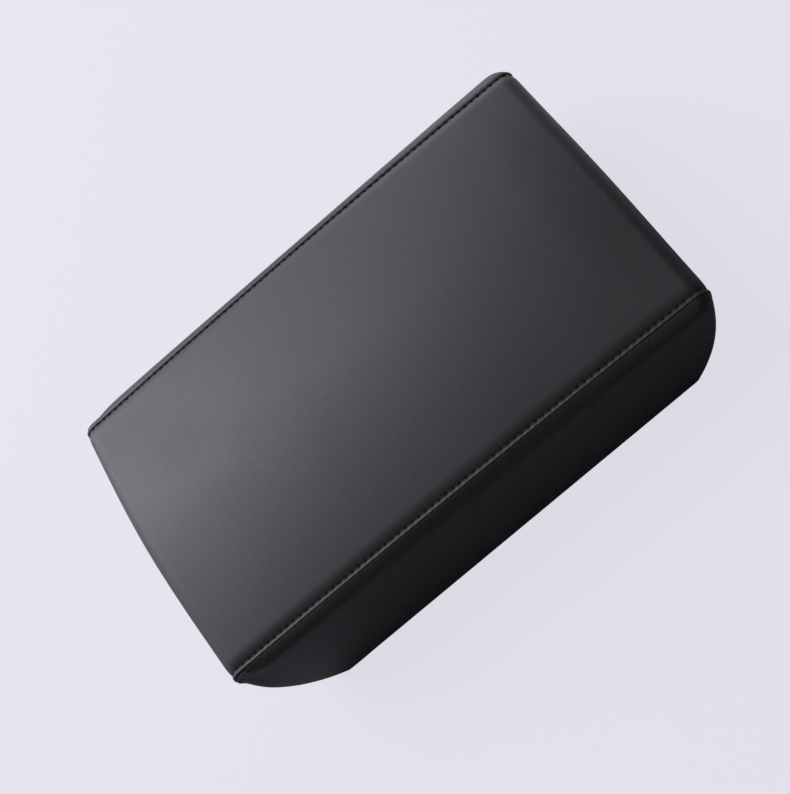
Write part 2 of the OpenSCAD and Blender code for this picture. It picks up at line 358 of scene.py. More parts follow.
class SeamLine:
    """The seam in the X-Z plane, from the rear foot over the top to the front foot.

    Distances along it are in metres. The zone is 0 on top, 1 on the ends and between in the corners.
    """

    def __init__(self, size):
        self.size = size
        half = size.length / 2
        height = size.seam_height
        end_turn = 2 * (atan(size.end_inset / height) - size.end_lean)
        end_radius = hypot(size.end_inset, height) / (2 * sin(end_turn / 2))
        corner_turn = pi / 2 + size.end_lean - atan(2 * size.seam_arch / half)
        self.foam_depth = size.leather + size.foam
        corner_radius = max(size.corner_radius, self.foam_depth + size.lining)
        cut = corner_radius * tan(corner_turn / 2)
        share = cut / (end_radius * end_turn)

        def on_arch(x):
            return np.stack([x, height + size.seam_arch * (1 - (x / half) ** 2)], -1)

        def on_end(t):
            lean = size.end_lean + (share + (1 - share) * t) * end_turn
            x = half + end_radius * (np.cos(lean) - cos(size.end_lean))
            return np.stack([x, height - end_radius * (np.sin(lean) - sin(size.end_lean))], -1)

        def on_corner(t):
            a = on_arch(np.array([half - cut]))
            b = on_end(np.array([0.0]))
            tip = np.array([half, height])
            t = t[:, None]
            pull = 2 * cos(corner_turn / 2) * t * (1 - t)
            return (a * (1 - t) ** 2 + tip * pull + b * t ** 2) / ((1 - t) ** 2 + pull + t ** 2)

        arch = np.linspace(0, half - cut, ARCH_POINTS)
        corner = np.linspace(0, 1, CORNER_POINTS)[1:]
        end = np.linspace(0, 1, END_POINTS)[1:]
        half_line = np.concatenate([on_arch(arch), on_corner(corner), on_end(end)])
        half_zone = np.concatenate([arch * 0, corner, end * 0 + 1])
        self.zones = np.concatenate([half_zone[:0:-1], half_zone])
        self.points = np.concatenate([half_line[:0:-1] * [-1, 1], half_line])
        self.points[:, 1] *= 1 - size.rear_rise / height * self.points[:, 0] / half
        self.runs = distances_along(self.points)
        self.total = self.runs[-1]
        self.normals = outward_normals(self.points, self.runs)
        self.foot_x = abs(self.points[0, 0])
        self.foot_normal = self.normals[0]
        self.inner_foot_x = self.foot_x - (self.foam_depth + size.leather) / abs(self.foot_normal[0])

    def at(self, run):
        """Points, outward normals and zones at distances along the seam."""
        point = np.stack([np.interp(run, self.runs, self.points[:, k]) for k in (0, 1)], -1)
        normal = np.stack([np.interp(run, self.runs, self.normals[:, k]) for k in (0, 1)], -1)
        return point, unit(normal), np.interp(run, self.runs, self.zones)

    def runs_at_height(self, z):
        """Distances along the seam at which the rear and the front end wall have this height."""
        middle = len(self.runs) // 2
        rear = np.interp(z, self.points[:middle, 1], self.runs[:middle])
        front = np.interp(z, self.points[:middle:-1, 1], self.runs[:middle:-1])
        return float(rear), float(front)

    def folded(self):
        """The strip's outer path: the seam line with its two ends folded under and turned up.

        Gives distances, points, normals, zones, how much of the padding shows, and the half width.
        """
        size = self.size
        depth = self.foam_depth + size.leather
        straight = STRAIGHT_FOOT
        parts = []
        for front in (False, True):
            foot = self.points[-1 if front else 0]
            near = self.at(np.array([self.total - straight if front else straight]))[0][0]
            up = unit(near - foot)
            inward = np.array([-depth / up[1] if front else depth / up[1], 0.0])
            corner = foot + inward
            top = corner + up * size.turned_edge / up[1]
            parts.append(rounded([top, corner, foot, near], [INNER_FOLD, HEM_FOLD]))
        rear, front_end = parts[0], parts[1][::-1]
        middle = (self.runs > straight) & (self.runs < self.total - straight)
        points = np.concatenate([rear, self.points[middle], front_end])
        runs = distances_along(points)
        runs += straight - runs[len(rear) - 1]
        normals = outward_normals(points, runs)
        zones = np.interp(runs, self.runs, self.zones)
        from_foot = np.minimum(runs, runs[-1] + runs[0] - runs)
        shows = ease((from_foot + PADDING_START) / PADDING_GROWTH)
        under = np.clip(-from_foot / depth, 0, 1)
        half_width = size.half_width - under * size.leather
        return runs, points, normals, zones, shows, half_width


def cover_of(context):
    """The cover's sizes, its sewing's sizes and its seam line."""
    size = context.scene.cover_sizes
    return size, context.scene.stitch_sizes, SeamLine(size)


def crown_height(size, x, zone):
    along = np.abs(x) / (size.length / 2)
    left = 1 + (CROWN_AT_CORNER - 1) * along ** CROWN_FLATNESS
    front = np.clip((x / (size.length / 2) - FRONT_SLOPE_START) / (1 - FRONT_SLOPE_START), 0, 1)
    left = left * (1 - FRONT_SLOPE * front * front)
    return size.crown * left * (1 - ease(zone))


def crown_shape(size, d):
    t = np.clip(1 - (d - RIDGE_WIDTH) / (size.half_width - RIDGE_WIDTH), 0, 1)
    return 1 - t ** CROWN_POWER


def roll_shape(d):
    t = np.clip((d - ROLL_START) / (RIDGE_WIDTH + ROLL_WIDTH - ROLL_START), 0, 1)
    return (1 - (1 - t) ** 2) ** ROLL_POWER


def ridge_shape(d):
    """The raised edge: a broad round crest between two steep faces."""
    t = np.clip(d / RIDGE_WIDTH, 0, 1)
    outer_face = np.sqrt(np.clip(t / RIDGE_OUTER_FACE, 0, 1))
    inner_face = np.sqrt(np.clip((1 - t) / RIDGE_INNER_FACE, 0, 1))
    return np.minimum(outer_face, inner_face) * (1 - RIDGE_ROUNDING * (2 * t - 1) ** 2)


def padding(size, x, zone, d):
    """Height of the top's padding over the seam line, at distance d from the nearer seam."""
    roll = TOP_ROLL + (END_ROLL - TOP_ROLL) * ease(zone)
    return crown_height(size, x, zone) * crown_shape(size, d) + roll * roll_shape(d)


def needle_holes(line, stitch):
    """Distance along the seam of the row's first needle hole, and the number of stitches."""
    count = int((line.total - 2 * ROW_MARGIN) / stitch.pitch)
    first = (line.total - count * stitch.pitch) / 2
    return first, count


def stitch_line(stitch, run):
    """The stitch row's distance from its seam."""
    return stitch.row + ROW_WANDER * wander(run, "row")


def select_only(piece):
    bpy.ops.object.select_all(action="DESELECT")
    piece.select_set(True)
    bpy.context.view_layer.objects.active = piece


def flat_grid(name, columns, rows):
    """A flat grid of columns by rows points over the unit square, as the piece is cut."""
    bpy.ops.object.select_all(action="DESELECT")
    bpy.ops.mesh.primitive_grid_add(
        x_subdivisions=columns - 1, y_subdivisions=rows - 1, size=1, location=(0.5, 0.5, 0))
    piece = bpy.context.object
    bpy.ops.object.transform_apply(location=True)
    piece.name = name
    piece.data.name = name
    return piece


def slab(name, columns, rows):
    """A grid drawn out to a closed slab, with its lower face at 0 and its upper face at 1."""
    piece = flat_grid(name, columns, rows)
    bpy.ops.object.mode_set(mode="EDIT")
    bpy.ops.mesh.select_all(action="SELECT")
    bpy.ops.mesh.extrude_region_move(TRANSFORM_OT_translate={"value": (0, 0, 1)})
    bpy.ops.object.mode_set(mode="OBJECT")
    turn_faces_out(piece)
    return piece


def flat_points(piece):
    points = np.zeros(len(piece.data.vertices) * 3)
    piece.data.vertices.foreach_get("co", points)
    return points.reshape(-1, 3)


def grid_steps(shares, count):
    """The number of each point's row or column, from its share of the way across a grid."""
    return np.rint(shares * (count - 1)).astype(int)


def places_from(piece, sheet):
    """Each grid point's place, from a table of places by column and row."""
    columns, rows = sheet.shape[:2]
    flat = flat_points(piece)
    return sheet[grid_steps(flat[:, 0], columns), grid_steps(flat[:, 1], rows)]


def lay(piece, points, cut=None):
    """Moves a piece's points to their places. cut gives each point's place on the flat cloth."""
    mesh = piece.data
    mesh.vertices.foreach_set("co", np.ascontiguousarray(points, float).ravel())
    if cut is not None:
        corner_points = np.zeros(len(mesh.loops), int)
        mesh.loops.foreach_get("vertex_index", corner_points)
        mesh.uv_layers[0].data.foreach_set("uv", cut[corner_points].ravel())
    mesh.update()


def face_towards(piece, direction):
    """Turns a sheet's faces over if the middle one looks away from the direction."""
    middle = piece.data.polygons[len(piece.data.polygons) // 2]
    if middle.normal.dot(Vector(direction)) < 0:
        piece.data.flip_normals()


def turn_faces_out(piece):
    """Turns a closed piece's faces outwards."""
    select_only(piece)
    bpy.ops.object.mode_set(mode="EDIT")
    bpy.ops.mesh.select_all(action="SELECT")
    bpy.ops.mesh.normals_make_consistent(inside=False)
    bpy.ops.object.mode_set(mode="OBJECT")


def apply_modifier(piece, kind, **settings):
    select_only(piece)
    modifier = piece.modifiers.new(kind.title(), kind)
    for name, value in settings.items():
        setattr(modifier, name, value)
    bpy.ops.object.modifier_apply(modifier=modifier.name)


def joined(pieces, merge=None):
    """Joins pieces into the first, and closes the seam between them where merge gives a distance."""
    select_only(pieces[0])
    for piece in pieces:
        piece.select_set(True)
    bpy.ops.object.join()
    if merge:
        bpy.ops.object.mode_set(mode="EDIT")
        bpy.ops.mesh.select_all(action="SELECT")
        bpy.ops.mesh.remove_doubles(threshold=merge)
        bpy.ops.object.mode_set(mode="OBJECT")
    return pieces[0]


def finished(piece, material, node=None):
    """Gives a piece its material and its place in the model."""
    piece.data.materials.append(bpy.data.materials[material])
    select_only(piece)
    bpy.ops.object.shade_smooth()
    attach(piece, "root")
    if node:
        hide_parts(node)


def finished_leather(piece, node):
    """Gives a leather piece its thickness, its material and its place in the model."""
    apply_modifier(piece, "SOLIDIFY", thickness=bpy.context.scene.cover_sizes.leather, offset=-1)
    finished(piece, "black_leather", node)


class Socket:
    """An output in a material's node tree. Arithmetic on it adds the nodes."""

    def __init__(self, tree, output=None):
        self.tree = tree
        self.output = output

    def node(self, kind, settings=None, inputs=None, result=0):
        """Adds a node: its settings first, then the values or links of its sockets."""
        node = self.tree.nodes.new(kind)
        for name, value in (settings or {}).items():
            setattr(node, name, value)
        for name, value in (inputs or {}).items():
            if isinstance(value, Socket):
                self.tree.links.new(value.output, node.inputs[name])
            else:
                node.inputs[name].default_value = value
        return Socket(self.tree, node.outputs[result] if node.outputs else None)

    def other(self, name):
        """Another output of the same node."""
        return Socket(self.tree, self.output.node.outputs[name])

    def maths(self, operation, *values):
        return self.node("ShaderNodeMath", {"operation": operation}, dict(enumerate(values)))

    def __add__(self, other):
        return self.maths("ADD", self, other)

    def __radd__(self, other):
        return self.maths("ADD", other, self)

    def __sub__(self, other):
        return self.maths("SUBTRACT", self, other)

    def __rsub__(self, other):
        return self.maths("SUBTRACT", other, self)

    def __mul__(self, other):
        return self.maths("MULTIPLY", self, other)

    def __rmul__(self, other):
        return self.maths("MULTIPLY", other, self)

    def sine(self):
        return self.maths("SINE", self)

    def absolute(self):
        return self.maths("ABSOLUTE", self)

    def spread(self, low, high, to_low, to_high):
        """The value carried from one range to another, and held inside it."""
        ranges = {"From Min": low, "From Max": high, "To Min": to_low, "To Max": to_high}
        return self.node("ShaderNodeMapRange", {"clamp": True}, {"Value": self, **ranges})

    def shades(self, colour, dark, light):
        """A colour, from a darker shade of it at 0 to a lighter one at 1."""
        ends = {6: (*scaled(colour, dark), 1), 7: (*scaled(colour, light), 1)}
        return self.node("ShaderNodeMix", {"data_type": "RGBA"}, {0: self, **ends}, 2)


def scaled(colour, share):
    return tuple(channel * share for channel in colour)


def new_material(name):
    """Makes an empty material. Gives the start of its node tree."""
    material = bpy.data.materials.new(name)
    material.use_nodes = True
    material.node_tree.nodes.clear()
    return Socket(material.node_tree)


def noise(start, place, scale, detail, roughness=0.5):
    inputs = {"Vector": place, "Scale": scale, "Detail": detail, "Roughness": roughness}
    return start.node("ShaderNodeTexNoise", None, inputs, "Fac")


def relief(start, height, strength, distance):
    """A normal that follows a fine relief, distance being its depth."""
    inputs = {"Strength": strength, "Distance": distance, "Height": height}
    return start.node("ShaderNodeBump", None, inputs, "Normal")


def surface(start, **inputs):
    """Ends a material with one Principled surface."""
    named = {name.replace("_", " "): value for name, value in inputs.items()}
    shader = start.node("ShaderNodeBsdfPrincipled", None, named)
    start.node("ShaderNodeOutputMaterial", None, {"Surface": shader})


def leather_material(colours):
    """Smooth black leather: a fine pebble grain with pores, darker in the creases between its pebbles as
    a painted shade, and a faint unevenness of colour and gloss.
    """
    start = new_material("black_leather")
    place = start.node("ShaderNodeTexCoord", result="Object")
    pebbles = start.node(
        "ShaderNodeTexVoronoi", {"feature": "SMOOTH_F1"},
        {"Vector": place, "Scale": 1250, "Smoothness": 0.5, "Randomness": 0.9}, "Distance")
    creases = noise(start, place, scale=420, detail=3, roughness=0.6)
    patches = noise(start, place, scale=22, detail=3, roughness=0.55)
    grain = 1 - pebbles
    bump = relief(start, grain * 0.7 + creases * 0.5, strength=0.35, distance=0.12 * MM)
    # Colour: darker in the grain's low creases, a painted shade, and uneven in broad random patches.
    tone_and_crease_shade = (patches * 0.5 + grain * 0.5).spread(0.35, 0.75, 0, 1)
    colour = tone_and_crease_shade.shades(colours.leather, 0.86, 1.14)
    roughness = (patches * 0.6 + creases * 0.4).spread(0.3, 0.7, 0.50, 0.58)
    surface(start, Base_Color=colour, Roughness=roughness, Normal=bump, Specular_IOR_Level=0.4,
            Specular_Tint=(0.97, 0.96, 1, 1))


def thread_material(colours):
    """Twisted polyester thread, lighter on its strands and darker in the grooves between them, a painted
    light and shade. Its map holds millimetres along the row and turns round the thread.
    """
    start = new_material("black_thread")
    cut = start.node("ShaderNodeUVMap", result="UV")
    along = start.node("ShaderNodeSeparateXYZ", None, {0: cut}, "X")
    around = along.other("Y")
    twist = ((along * TWIST + around * STRANDS) * (2 * pi)).sine()
    bump = relief(start, twist, strength=0.8, distance=0.08 * MM)
    # The colour follows the twist's relief: a painted shade in the grooves and a painted highlight on the
    # strands.
    colour = twist.spread(-1, 1, 0, 1).shades(colours.thread, 0.6, 1.4)
    surface(start, Base_Color=colour, Roughness=0.5, Normal=bump)


def foam_material(colours):
    """Open-cell foam, darker in the hollows of its cells, a painted shade."""
    start = new_material("foam")
    place = start.node("ShaderNodeTexCoord", result="Object")
    cells = start.node("ShaderNodeTexVoronoi", None, {"Vector": place, "Scale": 1500}, "Distance")
    bump = relief(start, cells, strength=0.7, distance=0.3 * MM)
    # The colour is darker where the cells' relief is low, a painted shade.
    surface(start, Base_Color=cells.shades(colours.foam, 0.8, 1), Roughness=0.9, Normal=bump)


def lining_material(colours):
    """Plain knitted lining, lighter on its loops and ribs and darker between them, a painted light and
    shade. Its map holds metres on the flat cloth.
    """
    start = new_material("knit_lining")
    cut = start.node("ShaderNodeUVMap", result="UV")
    along = start.node("ShaderNodeSeparateXYZ", None, {0: cut}, "X")
    across = along.other("Y")
    rib = (across * (pi / RIB_PITCH)).sine().absolute()
    loop = (along * (2 * pi / LOOP_PITCH) + rib * LOOP_BEND).sine()
    knit = loop * 0.5 + rib * 0.5
    fuzz = noise(start, cut, scale=900, detail=4)
    bump = relief(start, knit + fuzz * 0.5, strength=0.8, distance=0.25 * MM)
    # The colour follows the knit's relief: a painted shade between the loops and ribs, a painted
    # highlight on them.
    colour = knit.spread(-0.5, 1, 0, 1).shades(colours.lining, 0.55, 1.35)
    surface(start, Base_Color=colour, Roughness=0.85, Normal=bump, Sheen_Weight=0.3)


class ARMREST_OT_materials(bpy.types.Operator):
    """Makes the cover's materials"""
    bl_idname = "armrest.materials"
    bl_label = "Materials"

    def execute(self, context):
        colours = context.scene.cover_colours
        leather_material(colours)
        thread_material(colours)
        foam_material(colours)
        lining_material(colours)
        return {"FINISHED"}


def strip_stations(size):
    """Places across half of the strip: distance from the seam, and depth down its turned lip."""
    lip = [(0.06, -SEAM_LIP / MM), (0.05, -1.0), (0.05, -0.5), (0.07, -0.15)]
    ridge = [(d, 0) for d in (0.16, 0.32, 0.52, 0.76, 1.0, 1.24, 1.46, 1.64)]
    ditch = [(d, 0) for d in (1.76, 1.86, 1.94, 2.05, 2.2, 2.36, 2.54, 2.76, 3.0)]
    roll = [(d, 0) for d in (3.3, 3.75, 4.4, 5.2, 6.2, 7.4, 8.8, 10.4)]
    edge = roll[-1][0]
    middle = size.half_width / MM
    steps = np.arange(1, CROWN_STATIONS + 1) / CROWN_STATIONS
    crown = [(edge + (middle - edge) * step ** CROWN_SPACING, 0) for step in steps]
    return np.array(lip + ridge + ditch + roll + crown) * MM


def sewn_rise(size, stitch, line, run, point, zone, d):
    """Height of the strip over the seam line, with the ridge, the stitch row's ditch and its holes."""
    first, count = needle_holes(line, stitch)
    phase = (run - first) / stitch.pitch
    to_hole = (phase - np.round(phase)) * stitch.pitch
    sewn = ease(phase + 1) * ease(count + 1 - phase)
    from_row = d - stitch_line(stitch, run)
    puff = np.cos(2 * pi * phase) * sewn
    uneven = 1 - RIDGE_PUFF * puff + RIDGE_WANDER * wander(run, "ridge")
    ridge = stitch.ridge * ridge_shape(d) * uneven
    ditch = DITCH_DEPTH * bell(from_row, HOLE_REACH)
    hole = HOLE_DEPTH * bell(from_row, HOLE_REACH) * bell(to_hole, HOLE_REACH) * sewn
    pucker = PUCKER_DEPTH * puff * bell(from_row - PUCKER_PLACE, PUCKER_REACH)
    return padding(size, point[:, 0], zone, d) + ridge - ditch - hole - pucker


class ARMREST_OT_top_panel(bpy.types.Operator):
    """Makes the leather strip over the top and both ends, with its sewn edges and folded hems"""
    bl_idname = "armrest.top_panel"
    bl_label = "Top Panel"

    def execute(self, context):
        size, stitch, line = cover_of(context)
        runs, path, normals, zones, shows, half_widths = line.folded()
        half = strip_stations(size)
        stations = np.concatenate([half, half[-2::-1]])
        side = np.concatenate([np.full(len(half), -1.0), np.ones(len(half) - 1)])
        first, count = needle_holes(line, stitch)
        ends = int((first - runs[0]) / stitch.pitch * COLUMNS_A_STITCH) + 1
        last_hole = ends + count * COLUMNS_A_STITCH
        columns = last_hole + ends + 1
        piece = flat_grid("top_panel_leather", columns, len(stations))
        flat = flat_points(piece)
        run = np.interp(flat[:, 0] * (columns - 1), [0, ends, last_hole, columns - 1],
                        [runs[0], first, first + count * stitch.pitch, runs[-1]])
        row = grid_steps(flat[:, 1], len(stations))
        d, lip = stations[row].T

        def along(values):
            return np.interp(run, runs, values)

        point = np.stack([along(path[:, 0]), along(path[:, 1])], -1)
        normal = unit(np.stack([along(normals[:, 0]), along(normals[:, 1])], -1))
        rise = sewn_rise(size, stitch, line, run, point, along(zones), d) * along(shows)
        lip_depth = lip * (LIP_AT_HEM + (1 - LIP_AT_HEM) * along(shows))
        moved = point + normal * (rise + lip_depth)[:, None]
        moved[:, 1] = np.maximum(moved[:, 1], 0)
        y = side[row] * (along(half_widths) - d)
        lay(piece, in_space(moved, y), np.stack([run, y], -1))
        face_towards(piece, (0, 0, 1))
        finished_leather(piece, "top_panel")
        return {"FINISHED"}


def side_bulge(size, z, depth):
    """How far a layer of the side swells past the seam at a height, depth being the layers outside it."""
    height = np.clip(z / size.seam_height, 0, 1)
    return size.hem_bulge + (size.side_bulge - size.hem_bulge) * height ** SIDE_FULLNESS - depth


def corner_pull(size, place):
    """Share of a side panel's swell that is left near the rear top corner, where it is drawn tight."""
    corner = np.array([-size.length / 2, size.seam_height + size.rear_rise])
    return 1 - CORNER_TIGHT * bell(np.linalg.norm(place - corner, axis=-1), CORNER_REACH)


def side_sheet(size, line, stitch, columns, rows, depth=0.0, lift=HEM_FOLD, sewn=True):
    """A side layer's points, columns by rows, from the seam down to the height of lift.

    depth is that of the layers outside it, and sewn gives it the leather's creases and slack.
    """
    low, high = line.runs_at_height(lift)
    share = np.linspace(0, 1, columns)
    run = low + (high - low) * share
    point, normal, _ = line.at(run)
    start = point - normal * depth
    core = line.foot_x * HEM_CORE
    goal = np.stack([-core + 2 * core * share, np.full(columns, lift)], -1)
    reach = np.linalg.norm(goal - start, axis=1)
    way = (goal - start) / reach[:, None]
    low_share = 1 - np.clip(start[:, 1] / size.seam_height, 0, 1)
    shoulder = (size.shoulder - depth) * (1 + FOOT_SHOULDER * low_share)
    turns, drops, lips = rows
    first = needle_holes(line, stitch)[0]
    sheet = np.zeros((columns, len(turns) + len(drops), 3))
    stray = SIDE_PUCKER_WANDER * wander(run, "side_pucker")
    puff = np.cos(2 * pi * (run - first) / stitch.pitch + stray)
    first_turn = size.shoulder_start
    for k, (turn_share, crease) in enumerate(zip(turns, lips)):
        turn = first_turn + (pi / 2 - first_turn) * turn_share
        fall = shoulder * (1 - cos(turn) / cos(first_turn))
        out = (sin(turn) - sin(first_turn)) / (1 - sin(first_turn))
        level = start + way * fall[:, None]
        swell = side_bulge(size, level[:, 1], depth) * out * corner_pull(size, level)
        pucker = 0
        if sewn:
            crease = crease + CREASE_DEPTH * np.exp(-swell / CREASE_REACH)
            pucker = SIDE_PUCKER_DEPTH * puff * bell(swell - SIDE_PUCKER_PLACE, SIDE_PUCKER_REACH)
        place = start + way * (fall + crease - pucker * cos(turn))[:, None]
        sheet[:, k] = in_space(place, size.half_width + swell + pucker * sin(turn))
    for k, drop in enumerate(drops):
        place = start + way * (shoulder + (reach - shoulder) * drop)[:, None]
        swell = side_bulge(size, place[:, 1], depth) * corner_pull(size, place)
        if sewn:
            slack = SIDE_SLACK * wander(place[:, 0], "side_slack", SIDE_SLACK_WAVES)
            swell = swell + slack * np.sin(pi * drop)
        sheet[:, len(turns) + k] = in_space(place, size.half_width + swell)
    return sheet


def side_rows():
    """Shares of the turn round the shoulder and of the drop below it, and the seam lip's depths."""
    near_seam = [0.004, 0.004, 0.006, 0.014, 0.03, 0.055, 0.09, 0.13]
    turns = np.concatenate([near_seam, np.linspace(0.18, 1, 12)])
    lips = np.zeros(len(turns))
    lips[:3] = SEAM_LIP * np.array([1, 0.6, 0.25])
    return turns, np.linspace(0, 1, 17)[1:], lips


class ARMREST_OT_side_panels(bpy.types.Operator):
    """Makes the two shaped side panels, with their shoulders, puckered seams and folded hems"""
    bl_idname = "armrest.side_panels"
    bl_label = "Side Panels"

    def execute(self, context):
        size, stitch, line = cover_of(context)
        rows = side_rows()
        sheet = side_sheet(size, line, stitch, int(line.total / SIDE_COLUMN), rows)
        seam_row = np.count_nonzero(rows[2])
        hem = np.concatenate([sheet[0, seam_row:], sheet[1:, -1], sheet[-1, -2:seam_row - 1:-1]])
        fold = self.hem_fold(size, line, hem)
        for name, sign in SIDES.items():
            wall = self.sheet_piece(f"side_panel_{name}_leather", sheet, sign)
            face_towards(wall, (0, sign, 0))
            turned = self.sheet_piece("turned_hem", fold, sign)
            if sum(face.normal.z * face.area for face in turned.data.polygons) > 0:
                turned.data.flip_normals()
            finished_leather(joined([wall, turned], merge=WELD), f"side_panel_{name}")
        return {"FINISHED"}

    def sheet_piece(self, name, sheet, sign):
        piece = flat_grid(name, *sheet.shape[:2])
        lay(piece, places_from(piece, sheet) * [1, sign, 1])
        return piece

    def hem_fold(self, size, line, hem):
        """The leather under the hem and up inside, as points along the hem by points round the fold."""
        inner_y = np.full(len(hem), size.half_width - size.leather)
        inner = np.stack([hem[:, 0] * line.inner_foot_x / line.foot_x, inner_y], -1)
        reach = np.linalg.norm(inner - hem[:, :2], axis=1)
        inward = (inner - hem[:, :2]) / reach[:, None]
        sheet = []

        def add_row(steps, z):
            flat = hem[:, :2] + inward * np.broadcast_to(steps, reach.shape)[:, None]
            sheet.append(np.column_stack([flat, np.full(len(hem), z)]))

        for turn in np.linspace(0, pi / 2, 7):
            add_row(HEM_FOLD * (1 - cos(turn)), HEM_FOLD * (1 - sin(turn)))
        for share in (0.33, 0.67):
            add_row(HEM_FOLD + share * (reach - INNER_FOLD - HEM_FOLD), 0)
        for turn in np.linspace(0, pi / 2, 6):
            add_row(reach - INNER_FOLD * (1 - sin(turn)), INNER_FOLD * (1 - cos(turn)))
        tilt = line.foot_normal[1] / line.foot_normal[0]
        for z in np.linspace(INNER_FOLD, size.turned_edge, 6)[1:]:
            spread = 1 + tilt * z / line.inner_foot_x
            sheet.append(np.column_stack([inner * [spread, 1], np.full(len(hem), z)]))
        return np.array(sheet).transpose(1, 0, 2)


class ARMREST_OT_foam(bpy.types.Operator):
    """Makes the three foam pads between the leather and the lining"""
    bl_idname = "armrest.foam"
    bl_label = "Foam Pads"

    def execute(self, context):
        size, stitch, line = cover_of(context)
        self.top_foam(size, line, stitch)
        turns = np.linspace(0.06, 1, 9)
        rows = (turns, np.linspace(0, 1, 10)[1:], np.zeros(len(turns)))
        low = size.leather + FOAM_GAP
        sheet = side_sheet(size, line, stitch, SIDE_FOAM_COLUMNS, rows, low, low, sewn=False)
        for name, sign in SIDES.items():
            pad = slab(f"side_foam_{name}", *sheet.shape[:2])
            placed = places_from(pad, sheet)
            placed[flat_points(pad)[:, 2] < 0.5, 1] = size.half_width + FOAM_GAP
            self.finish_pad(pad, placed * [1, sign, 1], f"side_pad_{name}")
        return {"FINISHED"}

    def top_foam(self, size, line, stitch):
        low = size.leather + FOAM_GAP
        near_seam = np.array([0.08, 0.8, 1.6, 2.4, 3.4, 4.6, 6.2, 8.4, 11]) * MM
        stations = np.concatenate([near_seam, np.linspace(near_seam[-1], size.half_width, 11)[1:]])
        across = len(stations) - 1
        piece = slab("top_foam", TOP_FOAM_COLUMNS, 2 * across + 1)
        flat = flat_points(piece)
        rear, front = line.runs_at_height(low)
        run = rear * (1 - flat[:, 0]) + front * flat[:, 0]
        row = grid_steps(flat[:, 1], 2 * across + 1) - across
        d = stations[across - np.abs(row)]
        point, normal, zone = line.at(run)
        outer = padding(size, point[:, 0], zone, d) - size.leather - FOAM_GAP
        outer = outer - FOAM_GROOVE * np.exp(-((d - stitch.row) / GROOVE_REACH) ** 4)
        rise = np.where(flat[:, 2] > 0.5, outer, -line.foam_depth + FOAM_GAP)
        moved = point + normal * rise[:, None]
        moved[:, 1] = np.maximum(moved[:, 1], low)
        self.finish_pad(piece, in_space(moved, np.sign(row) * (size.half_width - d)), "top_pad")

    def finish_pad(self, piece, points, node):
        lay(piece, points)
        turn_faces_out(piece)
        finished(piece, "foam", node)


class ARMREST_OT_lining(bpy.types.Operator):
    """Makes the knitted lining: a strip over the top and the ends, and a plate on each side"""
    bl_idname = "armrest.lining"
    bl_label = "Lining"

    def execute(self, context):
        size, _, line = cover_of(context)
        depth = line.foam_depth + size.lining
        bottom = size.turned_edge + LINING_GAP
        runs = line.runs_at_height(bottom - depth * line.foot_normal[1])
        self.strip(size, line, runs, depth)
        self.plates(size, line, runs, bottom)
        return {"FINISHED"}

    def strip(self, size, line, runs, depth):
        strip = flat_grid("lining_strip", *LINING_STRIP_GRID)
        flat = flat_points(strip)
        run = runs[0] + (runs[1] - runs[0]) * flat[:, 0]
        y = (flat[:, 1] * 2 - 1) * (size.half_width - size.lining - LINING_GAP)
        point, normal, zone = line.at(run)
        moved = point - normal * depth
        slack = LINING_SLACK * wander(moved[:, 0], "lining_slack", LINING_SLACK_WAVES)
        across = np.cos(y / LINING_SLACK_SPREAD) * (1 - (y / size.half_width) ** 2)
        moved = moved - normal * np.abs(slack * across * (1 - ease(zone)))[:, None]
        lay(strip, in_space(moved, y), np.stack([run, y], -1))
        face_towards(strip, (0, 0, -1))
        cut = (runs[1] - runs[0], 2 * np.abs(y).max())
        self.finish_sheet(strip, size, "lining_top", cut, ["top_pad"])

    def plates(self, size, line, runs, bottom):
        columns, rows = LINING_PLATE_GRID
        share = np.linspace(0, 1, columns)
        point, normal, _ = line.at(runs[0] + (runs[1] - runs[0]) * share)
        start = point - normal * (line.foam_depth + LINING_GAP)
        foot_x = np.abs(start[0, 0])
        goal = np.stack([-foot_x + 2 * foot_x * share, np.full(columns, bottom)], -1)
        plate = start[:, None] + (goal - start)[:, None] * np.linspace(0, 1, rows)[None, :, None]
        plate[..., 1] = np.maximum(plate[..., 1], bottom)
        cut = (2 * np.abs(plate[..., 0]).max(), plate[..., 1].max() - bottom)
        for name, sign in SIDES.items():
            piece = flat_grid(f"lining_plate_{name}", columns, rows)
            place = places_from(piece, plate)
            y = np.full(len(place), sign * (size.half_width - size.lining))
            lay(piece, in_space(place, y), place)
            face_towards(piece, (0, -sign, 0))
            self.finish_sheet(piece, size, f"lining_{name}", cut, [f"side_pad_{name}"])

    def finish_sheet(self, piece, size, node, cut, rests_on):
        apply_modifier(piece, "SOLIDIFY", thickness=size.lining - LINING_SPARE, offset=-1)
        finished(piece, "knit_lining", node)


